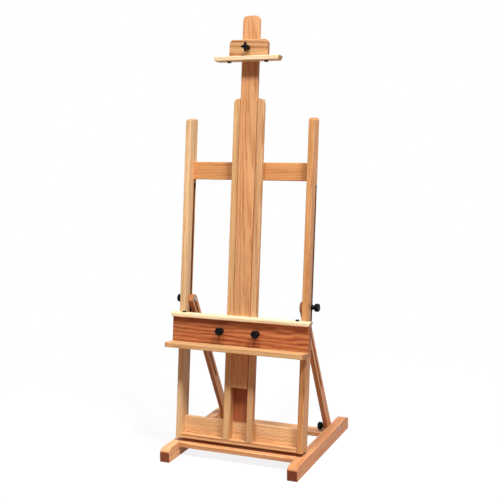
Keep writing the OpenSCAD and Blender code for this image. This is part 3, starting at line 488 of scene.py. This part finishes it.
SCREW_RADIUS, SCREW_HEAD_RADIUS = 2.0, 4.0
HINGE_OUT, HINGE_LONG, SCREWS_OFF_PIN, HINGE_SCREW = 170, 76, 16.12, 14
BASE_PIN_BACK, BASE_LEAF_TOP = -157.43, 60.0
FRAME_PIN_BACK, LEAF_THICK = 71.6, 2.0


def wood_screw(length):
    """Countersunk screw that points down, its cross-recessed head flush with Z = 0."""
    thin, cone, head = SCREW_RADIUS * 0.8, 2.5, SCREW_HEAD_RADIUS
    rows = [(0, -length), (0.5, -length + 1.2), (thin - 0.3, -length + 4)]
    rows += threads(-length + 4, -length * 0.4, SCREW_RADIUS - 0.05, 0.6, 1.9)
    rows += [(thin, -length * 0.38), (thin, -cone), (head - 0.1, -0.2), (head - 0.15, 0)]
    rows += [(head * share, 0) for share in (0.8, 0.66, 0.52, 0.38, 0.24, 0.1)] + [(0, 0)]
    points, faces = lathe(rows, 32)
    arm, slot_reach, deep = 0.55, 2.3, 1.3
    cut = []
    for x, y, z in points:
        out = math.hypot(x, y)
        if z > -0.01 and min(abs(x), abs(y)) < arm and out < slot_reach:
            z -= deep * (1 - 0.6 * out / slot_reach)
        cut.append((x, y, z))
    return cut, faces


hinge_zinc = zinc("zinc_plated_hinge", "#9EA0A0", 0.34)
screw_zinc = zinc("zinc_plated_screws", "#A9A9A3", 0.28)
for node in ("lower_hinge_leaves", "upper_hinge_leaves", "hinge_pins"):
    finish_with(node, hinge_zinc)
hinge_screws_across = [
    side * HINGE_OUT + step * HINGE_LONG / 3 for side in (-1, 1) for step in (-1, 0, 1)]
fitting("lower_hinge_screws", "base", screw_zinc, [
    (wood_screw(HINGE_SCREW), standing(
        across, BASE_PIN_BACK - SCREWS_OFF_PIN, BASE_LEAF_TOP, (0, 0, 1)))
    for across in hinge_screws_across])
fitting("upper_hinge_screws", "frame", screw_zinc, [
    (wood_screw(HINGE_SCREW), leaning(
        across, FRAME_PIN_BACK - SCREWS_OFF_PIN, -LEAF_THICK, (0, 0, -1)))
    for across in hinge_screws_across])


# ---------------------------------------------------------------- uprights, rail and crossbars
# The tilting frame: two oak uprights joined by a flat bottom rail and two crossbars, all
# dowelled and glued. The uprights' tops and outer rear edges are rounded over, and a stopped
# groove is routed down both sides of each. The groove's inside faces carry painted shade.

UPRIGHT_IN, UPRIGHT_OUT = 262.5, 287.0
GROOVE_BACK, GROOVE_UP, GROOVE_DEEP, PAST_FACE = (45, 62), (470, 1086), 7, 1
SHARP_EDGE = 28


def baked(mesh, kind, **settings):
    """The mesh as one modifier leaves it."""
    thing = bpy.data.objects.new("work", mesh)
    bpy.context.collection.objects.link(thing)
    modifier = thing.modifiers.new(kind, kind)
    for name, value in settings.items():
        setattr(modifier, name, value)
    bpy.context.view_layer.update()
    made = bpy.data.meshes.new_from_object(
        thing.evaluated_get(bpy.context.evaluated_depsgraph_get()))
    bpy.data.objects.remove(thing)
    return made


def routed(node, body, material, inside, cuts):
    """A copy of a CAD node with box-shaped cuts in it, which show the material inside.

    A cut has a low and a high corner on the leaning frame, in millimetres. The copy stands
    for the node.
    """
    shape = bmesh.new()
    for low, high in cuts:
        size = [top - bottom for bottom, top in zip(low, high)] + [1]
        centre = [(top + bottom) / 2 * MM for bottom, top in zip(low, high)]
        bmesh.ops.create_cube(
            shape, size=MM, matrix=ON_FRAME @ Matrix.Translation(centre) @ Matrix.Diagonal(size))
    cutter_mesh = bpy.data.meshes.new("cutter")
    shape.to_mesh(cutter_mesh)
    cutter_mesh.materials.append(inside)
    cutter = bpy.data.objects.new("cutter", cutter_mesh)
    bpy.context.collection.objects.link(cutter)
    shape.clear()
    shape.from_mesh(nodes[node].data)
    bmesh.ops.remove_doubles(shape, verts=shape.verts, dist=0.001 * MM)
    whole = bpy.data.meshes.new("whole")
    shape.to_mesh(whole)
    shape.free()
    whole.materials.clear()
    whole.materials.append(material)
    cut = baked(whole, "BOOLEAN", operation="DIFFERENCE", solver="EXACT",
                material_mode="TRANSFER", object=cutter)
    cut.shade_smooth()
    cut.set_sharp_from_angle(angle=math.radians(SHARP_EDGE))
    # The broad faces stay flat beside their eased edges.
    mesh = baked(cut, "WEIGHTED_NORMAL", weight=100, keep_sharp=True)
    bpy.data.objects.remove(cutter)
    for spare in (cutter_mesh, whole, cut):
        bpy.data.meshes.remove(spare)
    mesh.name = node + "_form"
    made = bpy.data.objects.new(node + "_form", mesh)
    bpy.context.collection.objects.link(made)
    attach(made, body)
    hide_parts(node)


# The grooves' inside faces get a much darker oak: painted shade, for the shade deep inside them.
groove_painted_shade = oak("painted_shade_in_the_grooves", ("#8F5A34", "#744123", "#4E2813"), "Z",
                 middle("left_upright"), LEANING)
for node, side, seed, heart, tones in (
        ("left_upright", -1, 11.3, (180, 120), ("#F6D9AC", "#E4BC88", "#A56B3F")),
        ("right_upright", 1, 14.9, (-170, 140), ("#E8B67E", "#D3955C", "#884E28"))):
    wood = oak("oiled_oak_" + node, tones, "Z", middle(node), LEANING, ring=2.6, heart=heart,
               seed=seed)
    cuts = []
    for face, into in ((UPRIGHT_IN, 1), (UPRIGHT_OUT, -1)):
        low, high = sorted((side * (face - into * PAST_FACE), side * (face + into * GROOVE_DEEP)))
        cuts.append(((low, GROOVE_BACK[0], GROOVE_UP[0]), (high, GROOVE_BACK[1], GROOVE_UP[1])))
    routed(node, "frame", wood, groove_painted_shade, cuts)
for node, seed, heart, tones in (
        ("bottom_rail", 21.0, (140, 60), ("#F0C18D", "#DDA470", "#AA6B40")),
        ("lower_crossbar", 23.5, (30, 170), ("#FFD7A2", "#EDBD86", "#BB814F")),
        ("upper_crossbar", 26.1, (60, 160), ("#E9AF72", "#D8975E", "#A76537"))):
    oiled(node, "oiled_oak_" + node, tones, "X", LEANING, ring=5.5, heart=heart, wander=6,
          seed=seed, rings=0.5, streaks=0.5)
finish_with("frame_dowels", beech(
    "turned_beech_frame_dowels", "X", middle("frame_dowels"), LEANING))


# ---------------------------------------------------------------- stiles and back panels
# Two moulded oak stiles make the channel for the mast. Screws through the crossbars and the
# bottom rail hold them, and thin red-brown stained boards are screwed to their backs.

STILE_SCREWS_OUT, CROSSBAR_BACK, PANEL_BACK, FOOT_MIDDLE = 52.2, 57.0, 44.0, 9.0
CROSSBAR_SCREW, FOOT_SCREW, PANEL_SCREW = 40, 45, 18
CROSSBAR_SCREWS_UP = (36.5, 71.5, 1120.5, 1157.5)
PANEL_UP, PANEL_LONG = 89, 1013
UPPER_PANEL_UP, UPPER_PANEL_LONG = 1176, 259

for node, seed, heart, tones in (
        ("left_stile", 31.0, (160, 90), ("#F4CF98", "#E0AC74", "#9A5F33")),
        ("right_stile", 33.4, (-150, 120), ("#EDC594", "#D3A06D", "#87502E"))):
    oiled(node, "oiled_oak_" + node, tones, "Z", LEANING, ring=2.2, heart=heart, seed=seed)
for node, seed in (("back_panel", 36.0), ("upper_back_panel", 37.5)):
    oiled(node, "red_stained_" + node, ("#C97B50", "#AC5E40", "#7E3F29"), "Z", LEANING,
          ring=3.4, heart=(140, 90), seed=seed, sheen=0.5)
stile_screws = [
    (wood_screw(CROSSBAR_SCREW), leaning(STILE_SCREWS_OUT * side, CROSSBAR_BACK, up, (0, 1, 0)))
    for side in (-1, 1) for up in CROSSBAR_SCREWS_UP]
stile_screws += [
    (wood_screw(FOOT_SCREW), leaning(STILE_SCREWS_OUT * side, FOOT_MIDDLE, 0, (0, 0, -1)))
    for side in (-1, 1)]
fitting("stile_screws", "frame", screw_zinc, stile_screws)
panel_screws_up = [PANEL_UP + PANEL_LONG * share for share in (0.04, 0.27, 0.5, 0.73, 0.96)]
panel_screws_up += [UPPER_PANEL_UP + UPPER_PANEL_LONG * share for share in (0.12, 0.85)]
fitting("panel_screws", "frame", screw_zinc, [
    (wood_screw(PANEL_SCREW), leaning(STILE_SCREWS_OUT * side, PANEL_BACK, up, (0, 1, 0)))
    for side in (-1, 1) for up in panel_screws_up])


# ---------------------------------------------------------------- struts
# Two slotted oak struts with round ends. Each pivots on a bolt through the runner and slides
# on a bolt through the upright, which a knob clamps.

STRUT_BOLT_BACK, STRUT_BOLT_UP = 50.0, 591.0
STRUT_TURN = (math.radians(26.589), 0, 0)

for node, seed, heart in (("left_strut", 41.0, (160, 120)), ("right_strut", 43.4, (-150, 130))):
    oiled(node, "oiled_oak_" + node, ("#E5AC77", "#D59565", "#9D5B37"), "Z", STRUT_TURN,
          ring=2.4, heart=heart, seed=seed)
strut_bolt = carriage_bolt(UPRIGHT_OUT - INNER_WASHER + IN_KNOB)
fitting("strut_bolts", "frame", bolt_zinc, [
    (strut_bolt, leaning(side * INNER_WASHER, STRUT_BOLT_BACK, STRUT_BOLT_UP, (side, 0, 0)))
    for side in (-1, 1)])
fitting("strut_washers", "frame", washer_zinc, [
    (washer(), leaning(side * at, STRUT_BOLT_BACK, STRUT_BOLT_UP, (side, 0, 0)))
    for side in (-1, 1) for at in (INNER_WASHER, UPRIGHT_IN - WASHER_THICK)])


# ---------------------------------------------------------------- round knobs and mast lock
# Seven moulded black knobs with a collar, a waist and six finger flutes, dished inside a low
# rim on top. The one at the back turns a threaded stud in a brass insert and locks the mast.

KNOB_RADIUS, KNOB_FLUTES, KNOB_GAP = 17.0, 6, 0.2
STRUT_KNOB_OUT, PIVOT_KNOB_OUT = UPRIGHT_OUT + KNOB_GAP, INNER_WASHER - KNOB_GAP
APRON_FRONT, TRAY_BOLT_OUT, TRAY_BOLT_UP = -19.8, 80.5, 472.2
TRAY_KNOB_BACK = APRON_FRONT - KNOB_GAP
LOCK_BACK, LOCK_UP, LOCK_STUD_INSIDE = 57.3, 1139.0, 35.98


def black_plastic(name):
    """Black phenolic moulding: satin, with the fine orange-peel of a worn mould."""
    material, tree = new_material(name)
    place = add(tree, "TexCoord")
    peel = add(tree, "TexNoise", inputs={
        "Vector": place.outputs["Object"], "Scale": per_metre(1.111), "Detail": 2.0})
    wear = add(tree, "TexNoise", inputs={
        "Vector": place.outputs["Object"], "Scale": per_metre(14.29), "Detail": 3.0})
    black = add(tree, "ValToRGB", inputs={"Fac": wear}, stops=[
        (0.35, "#040507"), (0.7, "#0A0D11")])
    dull = add(tree, "MapRange", inputs={
        "Value": wear, "From Min": 0.3, "From Max": 0.7, "To Min": 0.34, "To Max": 0.46})
    relief = add(tree, "Bump", inputs={"Height": peel, "Strength": 0.2, "Distance": 0.1 * MM})
    surface = add(tree, "BsdfPrincipled", inputs={
        "Base Color": black, "Roughness": dull, "IOR": 1.5, "Specular IOR Level": 0.1,
        "Normal": relief})
    add(tree, "OutputMaterial", inputs={"Surface": surface})
    return material


def round_knob():
    """Collar, waist and fluted grip, from the face that it clamps outward."""
    cutter_radius, cutter_out, flutes_start = 5.44, 20.0, 12

    def fluted(angle, radius, height):
        step = 2 * math.pi / KNOB_FLUTES
        off = (angle - math.pi / 2 + step / 2) % step - step / 2
        aside = cutter_out * math.sin(off)
        if height < flutes_start or abs(aside) >= cutter_radius:
            return radius
        return min(radius, cutter_out * math.cos(off) - math.sqrt(cutter_radius ** 2 - aside ** 2))

    collar = [(0, 0), (11.6, 0), (12, 0.4), (12, 3.4), (11.4, 4.6)]
    waist = [(9.4, 7.4), (8.2, 9.4), (8.2, 10.6), (9.4, 12)]
    grip = [
        (12.6, 13.9), (15.2, 15.4), (16.5, 17.2), (KNOB_RADIUS, 19.6), (KNOB_RADIUS, 28),
        (16.6, 30), (15.5, 31.6), (13.8, 32.6), (12, 33)]
    dish = [(11, 32.9), (10.4, 32.2), (10, 31.7), (6, 31.5), (0, 31.5)]
    return lathe(collar + waist + grip + dish, 96, fluted)


knob_plastic = black_plastic("moulded_black_knobs")
for name, where in (
        ("left_strut_knob", leaning(-STRUT_KNOB_OUT, STRUT_BOLT_BACK, STRUT_BOLT_UP, (-1, 0, 0))),
        ("right_strut_knob", leaning(STRUT_KNOB_OUT, STRUT_BOLT_BACK, STRUT_BOLT_UP, (1, 0, 0))),
        ("left_pivot_knob", standing(-PIVOT_KNOB_OUT, PIVOT_BACK, PIVOT_UP, (1, 0, 0))),
        ("right_pivot_knob", standing(PIVOT_KNOB_OUT, PIVOT_BACK, PIVOT_UP, (-1, 0, 0))),
        ("left_tray_knob", leaning(-TRAY_BOLT_OUT, TRAY_KNOB_BACK, TRAY_BOLT_UP, (0, -1, 0))),
        ("right_tray_knob", leaning(TRAY_BOLT_OUT, TRAY_KNOB_BACK, TRAY_BOLT_UP, (0, -1, 0))),
        ("mast_lock_knob", leaning(0, LOCK_BACK, LOCK_UP, (0, 1, 0)))):
    fitting(name, name, knob_plastic, [(round_knob(), where)], smooth=50)


def brass(name):
    """Turned brass of a threaded insert: warm metal with fine tool marks.

    The marks are drawn coarser than they are, so that they show.
    """
    material, tree = new_material(name)
    place = add(tree, "TexCoord")
    marks = add(tree, "TexNoise", inputs={
        "Vector": place.outputs["Object"], "Scale": per_metre(0.7143), "Detail": 3.0})
    metal = add(tree, "ValToRGB", inputs={"Fac": marks}, stops=[
        (0.3, "#A87F3C"), (0.7, "#D9B366")])
    relief = add(tree, "Bump", inputs={"Height": marks, "Strength": 0.3, "Distance": 0.1 * MM})
    surface = add(tree, "BsdfPrincipled", inputs={
        "Base Color": metal, "Metallic": 1.0, "Roughness": 0.32, "Normal": relief})
    add(tree, "OutputMaterial", inputs={"Surface": surface})
    return material


insert_brass = brass("turned_brass_inserts")
for node in ("mast_lock_insert", "clamp_insert"):
    finish_with(node, insert_brass)


def stud(inside):
    """Threaded rod with chamfered ends, from inside the wood, below Z = 0, into its knob."""
    return lathe([(0, -inside), (BOLT_RADIUS - 1, -inside)] + threads(1 - inside, IN_KNOB - 1.5)
                 + [(BOLT_RADIUS - 1, IN_KNOB), (0, IN_KNOB)])


fitting("mast_lock_stud", "mast_lock_knob", bolt_zinc, [
    (stud(LOCK_STUD_INSIDE), leaning(0, LOCK_BACK, LOCK_UP, (0, 1, 0)))])


# ---------------------------------------------------------------- mast
# One long oak board with rounded top corners. A thinner, wider board screwed on behind it
# runs in the grooves of the stiles.

TONGUE_BACK, TONGUE_UP, TONGUE_LONG = 21.0, 239, 1150
TONGUE_SCREW, TONGUE_SCREWS_OUT = 18, 22.2

oiled("mast", "oiled_oak_mast", ("#E8B47F", "#D89C69", "#A66537"), "Z", LEANING, ring=2.8,
      heart=(30, 190), seed=51.0, streaks=0.55, rings=0.25)
oiled("mast_tongue", "oiled_oak_tongue", ("#E2A670", "#CC8A58", "#96562F"), "Z", LEANING,
      seed=53.0)
fitting("tongue_screws", "mast", screw_zinc, [
    (wood_screw(TONGUE_SCREW), leaning(
        TONGUE_SCREWS_OUT * side, TONGUE_BACK, TONGUE_UP + TONGUE_LONG * share, (0, 1, 0)))
    for side in (-1, 1) for share in (0.04, 0.35, 0.65, 0.96)])


# ---------------------------------------------------------------- top clamp
# A block, two spacers and a back plate box in the mast, held by screws through the spacers.
# A pale bar under the block grips the canvas through two rubber pads. A star knob locks it.

BLOCK_FRONT, BLOCK_MIDDLE, BLOCK_UP, BLOCK_HIGH = -23.8, -14.05, 1601.0, 71.5
BACK_PLATE_BACK, SPACER_MIDDLE = 27.3, 48.8
BAR_MIDDLE, BAR_UNDERSIDE, BAR_SCREWS_OUT, BAR_PADS_OUT = -27.3, 1583.0, 67.8, 82
BLOCK_SCREW, BAR_SCREW = 44, 40
PAD_RADIUS, PAD_HIGH = 8.5, 6.0
STAR_KNOB_GAP, CLAMP_STUD_UP, CLAMP_STUD_INSIDE = 0.3, 1636.75, 19.78

oiled("clamp_block", "oiled_oak_clamp_block", ("#D0A475", "#C69162", "#874E26"), "X", LEANING,
      ring=11, heart=(60, -30), drift=2.0, bends=(83.3, 167), seed=61.0, rings=0.55,
      streaks=0.35)
for node, seed in (("clamp_back_plate", 63.0), ("clamp_spacers", 64.4)):
    oiled(node, "oiled_oak_" + node, ("#EDBB84", "#DBA06A", "#A5633A"), "X", LEANING, seed=seed)
oiled("grip_bar", "pale_oak_grip_bar", ("#FBE7C3", "#F0D6AA", "#D0A670"), "X", LEANING,
      seed=66.0)
fitting("clamp_screws", "top_clamp", screw_zinc, [
    (wood_screw(BLOCK_SCREW), leaning(
        SPACER_MIDDLE * side, BACK_PLATE_BACK, BLOCK_UP + BLOCK_HIGH * share, (0, 1, 0)))
    for side in (-1, 1) for share in (0.25, 0.75)])
fitting("bar_screws", "top_clamp", screw_zinc, [
    (wood_screw(BAR_SCREW), leaning(
        BAR_SCREWS_OUT * side, BLOCK_MIDDLE, BAR_UNDERSIDE, (0, 0, -1)))
    for side in (-1, 1)])


def rubber(name):
    """Black rubber, matt, dusted where the canvas rubs it."""
    material, tree = new_material(name)
    place = add(tree, "TexCoord")
    dust = add(tree, "TexNoise", inputs={
        "Vector": place.outputs["Object"], "Scale": per_metre(2.381), "Detail": 4.0})
    black = add(tree, "ValToRGB", inputs={"Fac": dust}, stops=[
        (0.4, "#141414"), (0.75, "#2B2A29")])
    relief = add(tree, "Bump", inputs={"Height": dust, "Strength": 0.4, "Distance": 0.1 * MM})
    surface = add(tree, "BsdfPrincipled", inputs={
        "Base Color": black, "Roughness": 0.72, "IOR": 1.5, "Normal": relief})
    add(tree, "OutputMaterial", inputs={"Surface": surface})
    return material


def pad():
    """Moulded disc with a rounded rim and a slightly dished face."""
    radius, high = PAD_RADIUS, PAD_HIGH
    return lathe([
        (0, 0), (radius - 0.3, 0), (radius, 0.3), (radius, high - 1.6),
        (radius - 0.4, high - 0.6), (radius - 1.3, high), (radius - 3, high),
        (radius - 4, high - 0.2), (0, high - 0.3)])


pad_rubber = rubber("black_rubber_pads")
fitting("bar_pads", "top_clamp", pad_rubber, [
    (pad(), leaning(BAR_PADS_OUT * side, BAR_MIDDLE, BAR_UNDERSIDE, (0, 0, -1)))
    for side in (-1, 1)])


def star_knob():
    """Four round arms on a stem."""
    stem, tip, waist, head, overlap = 8.19, 19.5, 9.5, 26.0, 4

    def starred(angle, radius, height):
        if height < head:
            return radius
        arm = ((1 + math.cos(4 * angle)) / 2) ** 1.9
        star = (waist + (tip - waist) * arm) * radius / tip
        return max(star, stem) if height < head + overlap else star

    return lathe([
        (0, 0), (stem - 0.4, 0), (stem, 0.4), (stem, head - 0.1), (14, head), (18, head + 0.4),
        (19.1, head + 1.4), (tip, head + 3), (tip, head + 10.6), (19.1, head + 12.4),
        (17.8, head + 13.5), (15.5, head + 14), (8, head + 14), (7.4, head + 13.4),
        (0, head + 13.2)], 128, starred)


on_block = leaning(0, BLOCK_FRONT - STAR_KNOB_GAP, CLAMP_STUD_UP, (0, -1, 0))
fitting("clamp_knob", "clamp_knob", black_plastic("moulded_black_star_knob"), [
    (star_knob(), on_block)], smooth=50)
fitting("clamp_stud", "clamp_knob", bolt_zinc, [(stud(CLAMP_STUD_INSIDE), on_block)])


# ---------------------------------------------------------------- canvas tray
# A pale ledge, a red oak apron with lively figure and a shelf under it, dowelled and
# screwed. Two bolts pull oak claws against the stiles' flanges from behind.

CLAW_BACK = 32.3
LEDGE_PADS_OUT, LEDGE_PADS_BACK, LEDGE_TOP = 254, -20.02, 538.5
SHELF_SCREW, APRON_LONG, APRON_MIDDLE, SHELF_UNDERSIDE = 45, 612, -10.05, 395.0

oiled("tray_ledge", "pale_oak_ledge", ("#FBEDCC", "#F0D9AD", "#D0A773"), "X", LEANING,
      seed=71.0)
oiled("tray_apron", "red_oak_apron", ("#CC8452", "#AC6038", "#7E3C22"), "X", LEANING,
      ring=14, heart=(50, 60), drift=1.5, wander=20, bends=(66.7, 200), seed=74.0, rings=0.36,
      streaks=0.52)
oiled("tray_shelf", "oiled_oak_shelf", ("#E6BD89", "#D8AA74", "#A86D40"), "X", LEANING,
      ring=3.0, seed=77.0)
for node, seed in (("left_tray_claw", 81.0), ("right_tray_claw", 82.0)):
    oiled(node, "oiled_oak_" + node, ("#E6AA72", "#CE8C58", "#9A5830"), "Z", LEANING, seed=seed)
finish_with("tray_dowels", beech("turned_beech_tray_dowels", "Z", middle("tray_dowels"), LEANING))
tray_bolt = carriage_bolt(CLAW_BACK - APRON_FRONT + IN_KNOB)
fitting("tray_bolts", "tray", bolt_zinc, [
    (tray_bolt, leaning(TRAY_BOLT_OUT * side, CLAW_BACK, TRAY_BOLT_UP, (0, -1, 0)))
    for side in (-1, 1)])
fitting("ledge_pads", "tray", pad_rubber, [
    (pad(), leaning(LEDGE_PADS_OUT * side, LEDGE_PADS_BACK, LEDGE_TOP, (0, 0, 1)))
    for side in (-1, 1)])
fitting("shelf_screws", "tray", screw_zinc, [
    (wood_screw(SHELF_SCREW), leaning(
        APRON_LONG * share, APRON_MIDDLE, SHELF_UNDERSIDE, (0, 0, -1)))
    for share in (-0.42, -0.21, 0.21, 0.42)])
